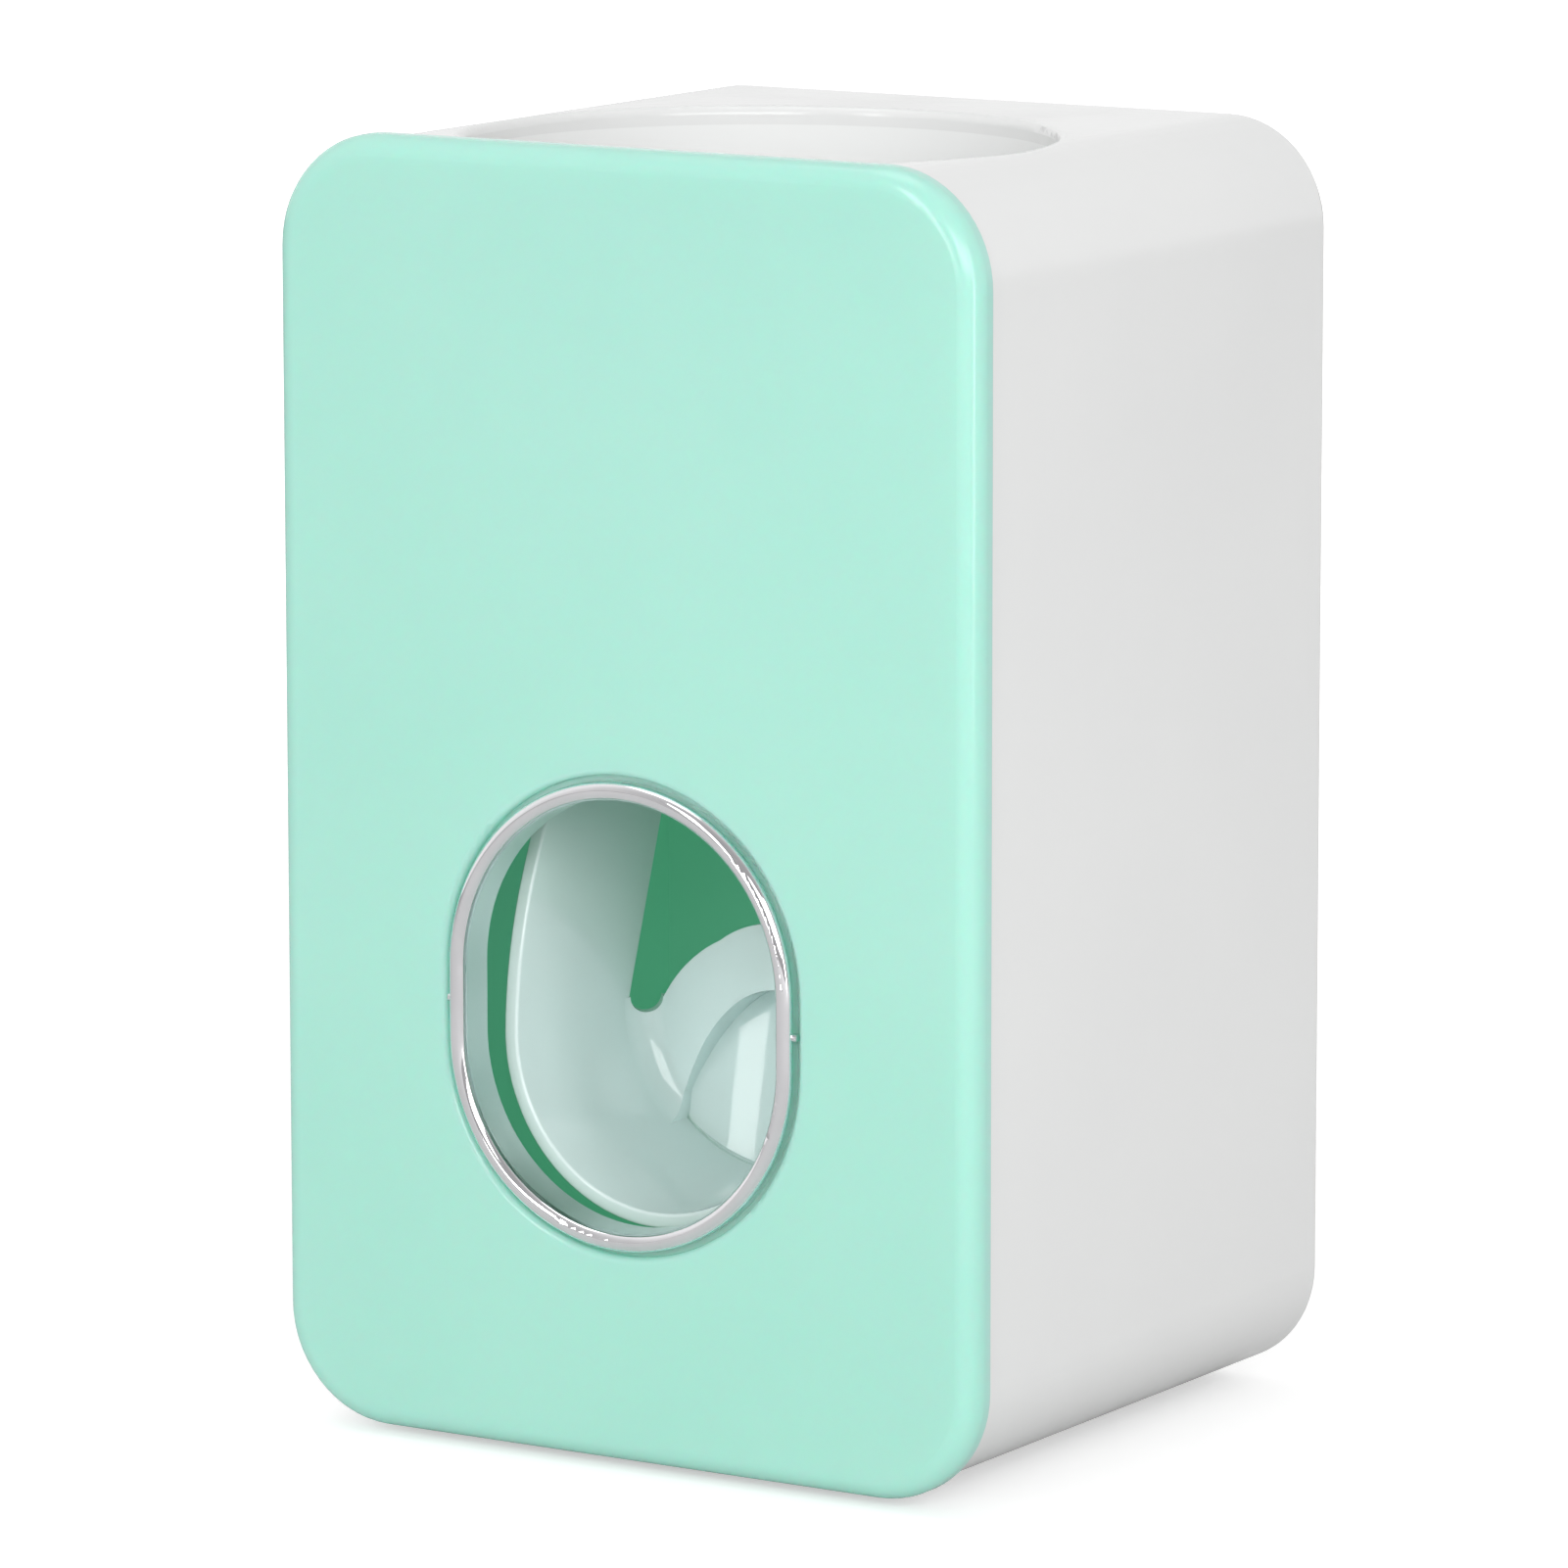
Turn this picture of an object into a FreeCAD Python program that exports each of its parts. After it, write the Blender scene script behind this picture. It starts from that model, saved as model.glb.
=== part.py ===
import FreeCAD, Part
import math
import os

# Push-to-dispense toothpaste dispenser, in millimetres, +Z up, front towards -Y.
# A tube stands neck down in the well on top. A brush pushed into the window swings the
# scoop lever back, which squeezes a bellows pump, and the nozzle lays paste on the bristles.
# The origin is on the surface it stands on, under the middle of its overall box.

# Housing: open-fronted moulded body
body_width = 92.8
body_height = 150.0
body_depth = 77.0
body_corner = 12.75
body_wall = 2.2
rear_edge = 0.8

# Rubber feet
foot_height = 1.6
foot_radius = 5.0
foot_inset_x = 22.0
foot_inset_y = 13.0

# Front cover
cover_depth = 4.0
cover_overhang = 0.8
cover_wall = 2.2
cover_edge = 2.5
seam_gap = 0.25
skirt_wall = 1.4
skirt_depth = 3.6
skirt_clearance = 0.3
peg_radius = 2.0
peg_length = 14.0
peg_clearance = 0.15
peg_inset_x = 6.9
peg_inset_low = 14.0
peg_inset_high = 14.0
socket_wall = 2.0
socket_setback = 1.0
socket_length = 11.0
socket_web = 3.0

# Window in the cover and its plated ring
window_half_width = 23.95
window_straight = 8.0
window_height = 51.5
window_edge = 0.8
ring_gap = 0.7
ring_bead_width = 2.1
ring_bead_flat = 0.1
ring_proud = 0.9
ring_seat_depth = 1.3
ring_sleeve_wall = 1.2
ring_sleeve_end = 4.4
ring_fit = 0.1
ring_barb = 0.5
ring_barb_length = 0.9
ring_nub_radius = 0.45
ring_nub_length = 0.5

# Tube well in the top
well_radius = 34.4
well_centre = 30.0
well_front = 10.2
well_corner = 5.0
well_rim_round = 1.0
well_wall = 1.6
well_flange = 3.0
well_floor = 2.0
well_floor_height = 108.0

# Pump body: top arm with the duct, rear arm with the chamber
arm_half_width = 12.5
arm_height = 12.0
arm_top_gap = 2.0
rear_arm_wall = 2.5
rear_arm_front = 50.0
rear_arm_depth = 12.0
duct_radius = 3.0
duct_drop = 7.0
riser_setback = 5.5
riser_wall = 1.2
plug_length = 2.4
inlet_setback = 36.0
inlet_boss_radius = 12.0
inlet_boss_rise = 4.0
inlet_bore_depth = 9.0
outlet_setback = 22.0
outlet_margin = 7.0
lug_margin = 0.2
lug_depth = 3.0
lug_rise = 9.0

# Tube seal, inlet valve, collar and gasket
neck_radius = 6.0
seal_wall = 2.1
seal_fit = 0.1
seal_flange = 1.4
seal_flange_margin = 0.1
inlet_valve_thick = 1.2
flap_radius = 4.6
flap_slit = 0.4
collar_wall = 2.85
collar_fit = 0.15
collar_lid = 1.6
collar_mouth_margin = 1.2
gasket_thick = 0.8
boss_floor_fit = 0.3

# Nozzle, its seal ring and the duckbill valve
spigot_radius = 4.4
spigot_length = 4.6
spigot_fit = 0.1
nozzle_flange_radius = 8.0
nozzle_flange = 1.6
nozzle_root_radius = 5.6
nozzle_tip_radius = 3.4
nozzle_drop = 17.0
nozzle_bore_radius = 2.3
valve_seat_radius = 3.4
valve_seat_length = 5.4
o_ring_radius = 0.5
duckbill_fit = 0.1
duckbill_flange = 1.2
duckbill_tube_radius = 2.7
duckbill_lip = 0.9
duckbill_slit = 0.25
duckbill_length = 4.0

# Bellows, clamp, press cap, washer and return spring
bellows_count = 3
bellows_pitch = 3.5
bellows_peak_radius = 10.5
bellows_valley_radius = 8.0
bellows_wall = 1.2
bellows_flange = 1.2
clamp_thick = 1.5
clamp_clearance = 0.4
clamp_width = 1.5
recess_fit = 0.1
chamber_margin = 1.0
chamber_depth = 1.3
cap_radius = 9.0
cap_thick = 2.7
cap_round = 0.8
stem_radius = 2.0
stem_fit = 0.05
stem_tail = 2.5
stem_bore_depth = 7.0
washer_radius = 5.2
washer_thick = 1.0
spring_wire = 0.8
spring_radius = 4.3
spring_turns = 5
spring_end_gap = 0.05

# Pump frame: back plate and two ears that carry the lever
frame_side_gap = 2.0
frame_plate = 2.5
frame_below = 18.5
frame_top_gap = 2.0
ear_gap = 0.8
ear_thick = 3.0
pivot_setback = 32.0
pivot_drop = 6.5
pivot_round = 5.5
post_radius = 4.5
post_inset_x = 6.0
post_inset_z = 6.0

# Screws
frame_screw_radius = 1.45
frame_screw_head = 3.2
frame_screw_head_thick = 2.2
frame_screw_share = 0.63
pump_screw_radius = 1.2
pump_screw_head = 2.8
pump_screw_head_thick = 1.8
pump_screw_share = 0.175
pump_boss_share = 0.35
screw_fit = 0.05
screw_hole_clearance = 0.35
screw_slot_width = 0.8
screw_slot_depth = 0.9
pilot_spare = 1.0
boss_wall = 1.75

# Push lever: scoop, paddle and hanging arms
scoop_radius = 19.2
scoop_wall = 1.8
scoop_axis_height = 46.5
scoop_front = 7.6
scoop_blend = 3.6
lip_round = 0.35
paddle_front = 34.0
paddle_dome_rise = 10.5
dome_shoulder_rise = 7.8
dome_shoulder_share = 0.506
dome_flank_rise = 4.4
dome_flank_share = 0.806
dome_margin = 3.2
notch_radius = 1.95
notch_rise = 0.3
notch_turn = 50.0
pocket_margin = 4.4
pocket_centre_drop = 3.6
pocket_arch = 25.4
pocket_depth = 2.0
pocket_side_margin = 6.15
pocket_round = 40.0
pocket_tilt = 12.0
arm_lean_rise = 9.5
arm_lean_angle = 23.8
arm_lean_round = 50.0
arm_bend_drop = 18.5
arm_waist_lead = 2.58
arm_shoulder_margin = 6.0
arm_shoulder_drop = 29.5
arm_neck_drop = 15.5
lever_throw = 19.0
bar_height = 9.0
bar_thick = 2.5
nub_radius = 4.0
nub_half_length = 8.0
nub_gap = 0.3
hub_length = 3.5

# Pivot pins and their clips
pin_radius = 1.5
pin_fit = 0.05
pin_head_radius = 3.0
pin_head = 1.2
pin_tail = 1.0
clip_radius = 3.0
clip_thick = 0.7
clip_gap = 0.3
clip_mouth = 2.2

# Keyholes in the back wall
keyhole_spacing = 50.0
keyhole_drop = 25.0
keyhole_radius = 4.5
keyhole_slot_radius = 2.2
keyhole_slot_rise = 9.0

# How far every cut runs past the faces it opens
overrun = 1.0

# Places worked out from the sizes above
overall_depth = ring_proud + cover_depth + body_depth
front_y = ring_proud - overall_depth / 2
seam_y = front_y + cover_depth
rear_y = seam_y + body_depth
base_z = foot_height
top_z = base_z + body_height
half_width = body_width / 2
window_z = base_z + window_height
well_y = front_y + well_centre
well_front_y = front_y + well_front
floor_z = base_z + well_floor_height
arm_top_z = floor_z - arm_top_gap
arm_low_z = arm_top_z - arm_height
duct_z = arm_top_z - duct_drop
inlet_y = front_y + inlet_setback
boss_top_z = floor_z + inlet_boss_rise
outlet_y = front_y + outlet_setback
arm_front_y = outlet_y - outlet_margin
frame_half_width = half_width - body_wall - frame_side_gap
rear_arm_y = front_y + rear_arm_front
plate_y = rear_arm_y + rear_arm_depth
frame_standoff = rear_y - body_wall - plate_y - frame_plate
frame_screw_length = frame_plate + frame_screw_share * frame_standoff
pump_screw_length = lug_depth + frame_plate + pump_screw_share * frame_standoff
pivot_y = front_y + pivot_setback
pivot_z = floor_z - pivot_drop
bar_z = pivot_z - lever_throw
riser_y = rear_arm_y + riser_setback
frame_low_z = bar_z - frame_below
frame_top_z = floor_z - frame_top_gap
gasket_top_z = floor_z + well_floor + gasket_thick
bellows_flange_radius = bellows_peak_radius + clamp_clearance + clamp_width
rear_arm_half_width = bellows_flange_radius + recess_fit + rear_arm_wall
chamber_radius = bellows_valley_radius - chamber_margin
lug_size = 2 * (pump_screw_head + lug_margin)
clamp_rear_y = rear_arm_y + clamp_thick
seat_y = clamp_rear_y + bellows_flange
cap_rear_y = clamp_rear_y - bellows_count * bellows_pitch
cap_front_y = cap_rear_y - cap_thick
nub_y = cap_front_y - nub_gap - nub_radius
paddle_y = front_y + paddle_front
paddle_back_y = paddle_y + scoop_wall
scoop_y = front_y + scoop_front
scoop_z = base_z + scoop_axis_height
notch_z = scoop_z + notch_rise
arm_back_y = nub_y + arm_shoulder_margin
ear_inner = scoop_radius + scoop_wall + ear_gap


def vec(x, y, z):
    return FreeCAD.Vector(x, y, z)


def block(x0, x1, y0, y1, z0, z1):
    return Part.makeBox(x1 - x0, y1 - y0, z1 - z0, vec(x0, y0, z0))


def rod_x(radius, x0, x1, y, z):
    return Part.makeCylinder(radius, x1 - x0, vec(x0, y, z), vec(1, 0, 0))


def rod_y(radius, y0, y1, x, z):
    return Part.makeCylinder(radius, y1 - y0, vec(x, y0, z), vec(0, 1, 0))


def rod_z(radius, z0, z1, x, y):
    return Part.makeCylinder(radius, z1 - z0, vec(x, y, z0), vec(0, 0, 1))


def line(a, b):
    return Part.LineSegment(a, b).toShape()


def arc(a, middle, b):
    return Part.Arc(a, middle, b).toShape()


def prism(edges, along):
    return Part.Face(Part.Wire(edges)).extrude(along)


def turned(points, centre, axis):
    """Closed profile of (radius, height) points turned about an axis through centre."""
    side = vec(1, 0, 0)
    corners = [centre + side * radius + axis * height for radius, height in points]
    face = Part.Face(Part.makePolygon(corners + corners[:1]))
    return face.revolve(centre, axis, 360)


def slab(width, low, high, corner, y0, y1):
    """Upright rounded rectangle, centred on x = 0, as thick as y0 to y1."""
    plain = block(-width / 2, width / 2, y0, y1, low, high)
    upright = [edge for edge in plain.Edges if edge.BoundBox.YLength > (y1 - y0) / 2]
    return plain.makeFillet(corner, upright)


def oval(half, y0, y1):
    """The window's outline, grown or shrunk to the half width asked for."""
    low = window_z - window_straight / 2
    high = window_z + window_straight / 2
    edges = [
        arc(vec(-half, y0, low), vec(0, y0, low - half), vec(half, y0, low)),
        line(vec(half, y0, low), vec(half, y0, high)),
        arc(vec(half, y0, high), vec(0, y0, high + half), vec(-half, y0, high)),
        line(vec(-half, y0, high), vec(-half, y0, low)),
    ]
    return prism(edges, vec(0, y1 - y0, 0))


def well_prism(grow, z0, z1):
    """The well's outline, a circle cut straight across at the front, grown all round."""
    radius = well_radius + grow
    front = well_front_y - grow
    half = math.sqrt(radius ** 2 - (well_y - front) ** 2)
    left = vec(-half, front, z0)
    right = vec(half, front, z0)
    outline = [arc(left, vec(0, well_y + radius, z0), right), line(right, left)]
    sharp = prism(outline, vec(0, 0, z1 - z0))
    upright = [edge for edge in sharp.Edges if edge.BoundBox.ZLength > (z1 - z0) / 2]
    return sharp.makeFillet(well_corner + grow, upright)


def flat_edges(shape, axis, level, limit):
    """Edges that lie in the plane axis = level and no further than limit from x = 0."""
    found = []
    for edge in shape.Edges:
        box = edge.BoundBox
        low = getattr(box, axis + "Min")
        high = getattr(box, axis + "Max")
        near = max(abs(low - level), abs(high - level)) < seam_gap / 2
        if near and max(-box.XMin, box.XMax) < limit:
            found.append(edge)
    return found


def mirrored(shape):
    return shape.mirror(vec(0, 0, 0), vec(1, 0, 0))


def both_sides(shape):
    return [shape, mirrored(shape)]


def peg_places():
    x = half_width - peg_inset_x
    heights = (base_z + peg_inset_low, top_z - peg_inset_high)
    return [(side * x, z) for side in (-1, 1) for z in heights]


def post_places():
    heights = (frame_low_z + post_inset_z, frame_top_z - post_inset_z)
    x = frame_half_width - post_inset_x
    return [(side * x, z) for side in (-1, 1) for z in heights]


def lug_places():
    x = rear_arm_half_width + lug_size / 2
    return [(side * x, bar_z + rise) for side in (-1, 1) for rise in (-lug_rise, lug_rise)]


def keyhole_places():
    return [(side * keyhole_spacing / 2, top_z - keyhole_drop) for side in (-1, 1)]


def screw(radius, length, head_radius, head_thick, y, x, z):
    """Pan-head screw along +Y with its head's underside at y and a cross slot."""
    head = rod_y(head_radius, y - head_thick, y, x, z)
    front = y - head_thick
    deep = front + screw_slot_depth
    half = screw_slot_width / 2
    upright = block(x - half, x + half, front - overrun, deep, z - head_radius / 2, z + head_radius / 2)
    level = block(x - head_radius / 2, x + head_radius / 2, front - overrun, deep, z - half, z + half)
    return head.fuse(rod_y(radius, y, y + length, x, z)).cut(upright.fuse(level))


def housing_hollow(y0):
    """Space inside the housing, from y0 to its back wall."""
    return slab(body_width - 2 * body_wall, base_z + body_wall, top_z - body_wall, body_corner - body_wall,
                y0, rear_y - body_wall)


def housing():
    shell = slab(body_width, base_z, top_z, body_corner, seam_y, rear_y)
    shell = shell.makeFillet(rear_edge, flat_edges(shell, "Y", rear_y, body_width))
    shell = shell.cut(housing_hollow(seam_y - overrun))
    posts = [rod_y(post_radius, plate_y + frame_plate, rear_y - body_wall / 2, x, z)
             for x, z in post_places()]
    shell = shell.fuse(posts + peg_sockets())
    cuts = [well_prism(0, top_z - body_wall - overrun, top_z + overrun)]
    pilot = frame_screw_radius + screw_fit
    pilot_end = plate_y + frame_screw_length + pilot_spare
    for x, z in post_places():
        cuts.append(rod_y(pilot, plate_y, pilot_end, x, z))
    for x, z in keyhole_places():
        cuts.append(keyhole(x, z))
    shell = shell.cut(cuts)
    return shell.makeFillet(well_rim_round, [edge for edge in shell.Edges if on_top_rim(edge)])


def on_top_rim(edge):
    """True for an edge of the well's mouth that lies on the outer skin of the top and its corners."""
    flat = half_width - body_corner
    for vertex in edge.Vertexes:
        past = min(max(abs(vertex.X) - flat, 0), body_corner)
        skin_z = top_z - body_corner + math.sqrt(body_corner ** 2 - past ** 2)
        if abs(vertex.Z - skin_z) > seam_gap / 2:
            return False
    return edge.BoundBox.YMin > seam_y and edge.BoundBox.YMax < rear_y - body_wall


def peg_sockets():
    """Tubes beside the side walls that take the cover's pegs, each on a web."""
    sockets = []
    bore = peg_radius + peg_clearance
    start = seam_y + skirt_depth + socket_setback
    end = start + socket_length
    for x, z in peg_places():
        outer = rod_y(bore + socket_wall, start, end, x, z)
        wall_x = math.copysign(half_width - body_wall / 2, x)
        low, high = sorted((x, wall_x))
        web = block(low, high, start, end, z - socket_web / 2, z + socket_web / 2)
        sockets.append(outer.fuse(web).cut(rod_y(bore, start - overrun, end + overrun, x, z)))
    return sockets


def keyhole(x, z):
    """Round hole for a screw's head with a narrow slot above it."""
    start = rear_y - body_wall - overrun
    end = rear_y + overrun
    entry = rod_y(keyhole_radius, start, end, x, z)
    top = rod_y(keyhole_slot_radius, start, end, x, z + keyhole_slot_rise)
    neck = block(x - keyhole_slot_radius, x + keyhole_slot_radius, start, end, z, z + keyhole_slot_rise)
    return entry.fuse([top, neck])


def front_cover():
    width = body_width + 2 * cover_overhang
    low = base_z - cover_overhang
    high = top_z + cover_overhang
    corner = body_corner + cover_overhang
    band_end = seam_y - seam_gap
    plate_back = front_y + cover_wall
    cover = slab(width, low, high, corner, front_y, band_end)
    cover = cover.makeFillet(cover_edge, flat_edges(cover, "Y", front_y, body_width))
    hollow = slab(width - 2 * cover_wall, low + cover_wall, high - cover_wall, corner - cover_wall,
                  plate_back, band_end + overrun)
    cover = cover.cut(hollow)
    inset = body_wall + skirt_clearance
    rim = slab(body_width - 2 * inset, base_z + inset, top_z - inset, body_corner - inset,
               plate_back - cover_wall / 2, seam_y + skirt_depth)
    inset = inset + skirt_wall
    rim_hole = slab(body_width - 2 * inset, base_z + inset, top_z - inset, body_corner - inset,
                    front_y, seam_y + skirt_depth + overrun)
    pegs = [rod_y(peg_radius, plate_back - cover_wall / 2, front_y + peg_length, x, z)
            for x, z in peg_places()]
    cover = cover.fuse([rim.cut(rim_hole)] + pegs)
    cover = cover.cut(oval(window_half_width, front_y - overrun, front_y + ring_seat_depth))
    ledge = ring_inner_half() + ring_sleeve_wall + ring_fit
    cover = cover.cut(oval(ledge, front_y, plate_back + overrun))
    return cover.makeFillet(window_edge, flat_edges(cover, "Y", front_y, window_half_width + ring_gap))


def ring_inner_half():
    return window_half_width - ring_gap - ring_bead_width


def window_ring():
    inner = ring_inner_half()
    outer = window_half_width - ring_gap
    front = front_y - ring_proud
    bead = oval(outer, front, front_y + ring_seat_depth).cut(oval(inner, front - overrun, seam_y))
    bead_round = ring_bead_width / 2 - ring_bead_flat
    bead = bead.makeFillet(bead_round, flat_edges(bead, "Y", front, outer + overrun))
    sleeve = oval(inner + ring_sleeve_wall, front_y + ring_seat_depth, front_y + ring_sleeve_end)
    barb_y = front_y + cover_wall + ring_fit
    barb = oval(inner + ring_sleeve_wall + ring_barb, barb_y, barb_y + ring_barb_length)
    tube = sleeve.fuse(barb).cut(oval(inner, front_y, seam_y + skirt_depth))
    nub_start = outer - bead_round / 2
    nub = rod_x(ring_nub_radius, nub_start, outer + ring_nub_length, front_y + ring_nub_radius, window_z)
    return bead.fuse([tube] + both_sides(nub)).removeSplitter()


def tube_well():
    under_top = top_z - body_wall
    cup = well_prism(well_wall, floor_z, under_top)
    cup = cup.fuse(well_prism(well_wall + well_flange, under_top - well_wall, under_top))
    cup = cup.cut(well_prism(0, floor_z + well_floor, under_top + overrun))
    hole = inlet_boss_radius + boss_floor_fit
    cup = cup.cut(rod_z(hole, floor_z - overrun, floor_z + well_floor + overrun, 0, inlet_y))
    return cup.common(housing_hollow(seam_y + skirt_depth + skirt_clearance)).removeSplitter()


def well_gasket():
    inner = inlet_boss_radius + boss_floor_fit
    outer = inlet_boss_radius + collar_fit + collar_wall
    ring = rod_z(outer, floor_z + well_floor, gasket_top_z, 0, inlet_y)
    return ring.cut(rod_z(inner, floor_z, boss_top_z, 0, inlet_y))


def seal_collar():
    """Ring nut: a skirt round the inlet boss and a lid that presses the seal's flange."""
    inner = inlet_boss_radius + collar_fit
    outer = inner + collar_wall
    lid_low = boss_top_z + seal_flange
    lid_high = lid_low + collar_lid
    nut = rod_z(outer, gasket_top_z, lid_high, 0, inlet_y)
    nut = nut.cut(rod_z(inner, floor_z, lid_low, 0, inlet_y))
    return nut.cut(rod_z(neck_radius + collar_mouth_margin, floor_z, lid_high + overrun, 0, inlet_y))


def tube_seal():
    low = boss_top_z - inlet_bore_depth + inlet_valve_thick
    outer = neck_radius + seal_wall
    sleeve = rod_z(outer, low, boss_top_z, 0, inlet_y)
    flange = rod_z(inlet_boss_radius - seal_flange_margin, boss_top_z, boss_top_z + seal_flange, 0, inlet_y)
    bore = rod_z(neck_radius, floor_z - arm_height, top_z, 0, inlet_y)
    return sleeve.fuse(flange).cut(bore).removeSplitter()


def inlet_valve():
    """Disc with a C-shaped slit, whose tongue lifts as a flap."""
    low = boss_top_z - inlet_bore_depth
    high = low + inlet_valve_thick
    disc = rod_z(neck_radius + seal_wall, low, high, 0, inlet_y)
    slit = rod_z(flap_radius, low - overrun, high + overrun, 0, inlet_y)
    slit = slit.cut(rod_z(flap_radius - flap_slit, low - overrun, high + overrun, 0, inlet_y))
    hinge = block(-flap_radius / 2, flap_radius / 2, inlet_y, inlet_y + flap_radius,
                  low - overrun, high + overrun)
    return disc.cut(slit.cut(hinge))


def pump_body():
    top_arm = block(-arm_half_width, arm_half_width, arm_front_y, plate_y, arm_low_z, arm_top_z)
    rear_low = bar_z - rear_arm_half_width
    rear_arm = block(-rear_arm_half_width, rear_arm_half_width, rear_arm_y, plate_y, rear_low, arm_top_z)
    boss = rod_z(inlet_boss_radius, arm_top_z - arm_height / 2, boss_top_z, 0, inlet_y)
    lugs = []
    for x, z in lug_places():
        inner_x = math.copysign(rear_arm_half_width - overrun, x)
        outer_x = math.copysign(rear_arm_half_width + lug_size, x)
        low, high = sorted((inner_x, outer_x))
        lugs.append(block(low, high, plate_y - lug_depth, plate_y, z - lug_size / 2, z + lug_size / 2))
    body = top_arm.fuse([rear_arm, boss] + lugs)
    cuts = [
        rod_z(neck_radius + seal_wall + seal_fit, boss_top_z - inlet_bore_depth, boss_top_z + overrun,
              0, inlet_y),
        rod_z(duct_radius, duct_z, boss_top_z, 0, inlet_y),
        rod_y(duct_radius, arm_front_y - overrun, riser_y, 0, duct_z),
        rod_z(duct_radius, bar_z + stem_radius + stem_fit + riser_wall, arm_top_z + overrun, 0, riser_y),
        rod_z(spigot_radius + spigot_fit, arm_low_z - overrun, duct_z, 0, outlet_y),
        rod_z(spigot_radius + 2 * o_ring_radius + spigot_fit, arm_low_z - overrun,
              arm_low_z + 2 * o_ring_radius, 0, outlet_y),
        rod_y(bellows_flange_radius + recess_fit, rear_arm_y - overrun, seat_y, 0, bar_z),
        rod_y(chamber_radius, seat_y, seat_y + chamber_depth, 0, bar_z),
        rod_y(stem_radius + stem_fit, seat_y, seat_y + chamber_depth + stem_bore_depth, 0, bar_z),
    ]
    hole = pump_screw_radius + screw_hole_clearance
    for x, z in lug_places():
        cuts.append(rod_y(hole, plate_y - lug_depth - overrun, plate_y + overrun, x, z))
    return body.cut(cuts)


def duct_plugs():
    front = rod_y(duct_radius, arm_front_y, arm_front_y + plug_length, 0, duct_z)
    top = rod_z(duct_radius, arm_top_z - plug_length, arm_top_z, 0, riser_y)
    return Part.makeCompound([front, top])


def nozzle():
    flange_low = arm_low_z - nozzle_flange
    tip = arm_low_z - nozzle_drop
    outside = [
        (0, arm_low_z + spigot_length),
        (spigot_radius, arm_low_z + spigot_length),
        (spigot_radius, arm_low_z),
        (nozzle_flange_radius, arm_low_z),
        (nozzle_flange_radius, flange_low),
        (nozzle_root_radius, flange_low),
        (nozzle_tip_radius, tip),
        (0, tip),
    ]
    spout = turned(outside, vec(0, outlet_y, 0), vec(0, 0, 1))
    seat_low = arm_low_z + spigot_length - valve_seat_length
    seat = rod_z(valve_seat_radius, seat_low, arm_top_z, 0, outlet_y)
    return spout.cut([seat, rod_z(nozzle_bore_radius, tip - overrun, seat_low + overrun, 0, outlet_y)])


def nozzle_o_ring():
    ring_radius = spigot_radius + o_ring_radius
    centre = vec(0, outlet_y, arm_low_z + o_ring_radius)
    return Part.makeTorus(ring_radius, o_ring_radius, centre, vec(0, 0, 1))


def outlet_valve():
    """Duckbill: a flanged tube that narrows to two flat lips with a slit between them."""
    top = arm_low_z + spigot_length
    tube_top = top - duckbill_flange
    lip_z = tube_top - duckbill_length
    flange = rod_z(valve_seat_radius - duckbill_fit, tube_top, top, 0, outlet_y)
    circle = Part.Wire(Part.makeCircle(duckbill_tube_radius, vec(0, outlet_y, tube_top)))
    lips = Part.Wire(Part.Ellipse(vec(nozzle_bore_radius, outlet_y, lip_z),
                                  vec(0, outlet_y + duckbill_lip, lip_z),
                                  vec(0, outlet_y, lip_z)).toShape())
    bill = Part.makeLoft([circle, lips], True)
    half = duckbill_slit / 2
    slit = block(-nozzle_bore_radius / 2, nozzle_bore_radius / 2, outlet_y - half, outlet_y + half,
                 lip_z - overrun, top + overrun)
    return flange.fuse(bill).cut(slit)


def bellows():
    """Pleated silicone bag, closed on the press cap and flanged on the pump body."""
    outside = []
    inside = []
    for pleat in range(bellows_count):
        start = pleat * bellows_pitch
        outside.append((bellows_valley_radius, start))
        outside.append((bellows_peak_radius, start + bellows_pitch / 2))
        if pleat:
            inside.append((bellows_valley_radius - bellows_wall, start))
        inside.append((bellows_peak_radius - bellows_wall, start + bellows_pitch / 2))
    length = bellows_count * bellows_pitch
    outside += [(bellows_valley_radius, length), (bellows_flange_radius, length)]
    outside += [(bellows_flange_radius, length + bellows_flange), (chamber_radius, length + bellows_flange)]
    inside = [(stem_radius + stem_fit, bellows_wall), (chamber_radius, bellows_wall)] + inside
    inside.append((chamber_radius, length))
    points = [(stem_radius + stem_fit, 0)] + outside + inside[::-1]
    return turned(points, vec(0, cap_rear_y, bar_z), vec(0, 1, 0))


def bellows_clamp():
    ring = rod_y(bellows_flange_radius, rear_arm_y, clamp_rear_y, 0, bar_z)
    return ring.cut(rod_y(bellows_peak_radius + clamp_clearance, rear_arm_y - overrun, seat_y, 0, bar_z))


def press_cap():
    disc = rod_y(cap_radius, cap_front_y, cap_rear_y, 0, bar_z)
    disc = disc.makeFillet(cap_round, flat_edges(disc, "Y", cap_front_y, cap_radius + overrun))
    stem_end = seat_y + chamber_depth + stem_tail
    return disc.fuse(rod_y(stem_radius, cap_rear_y - cap_thick / 2, stem_end, 0, bar_z)).removeSplitter()


def washer_rear():
    return cap_rear_y + bellows_wall + washer_thick


def stem_washer():
    ring = rod_y(washer_radius, cap_rear_y + bellows_wall, washer_rear(), 0, bar_z)
    return ring.cut(rod_y(stem_radius + stem_fit, cap_rear_y, seat_y, 0, bar_z))


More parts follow.
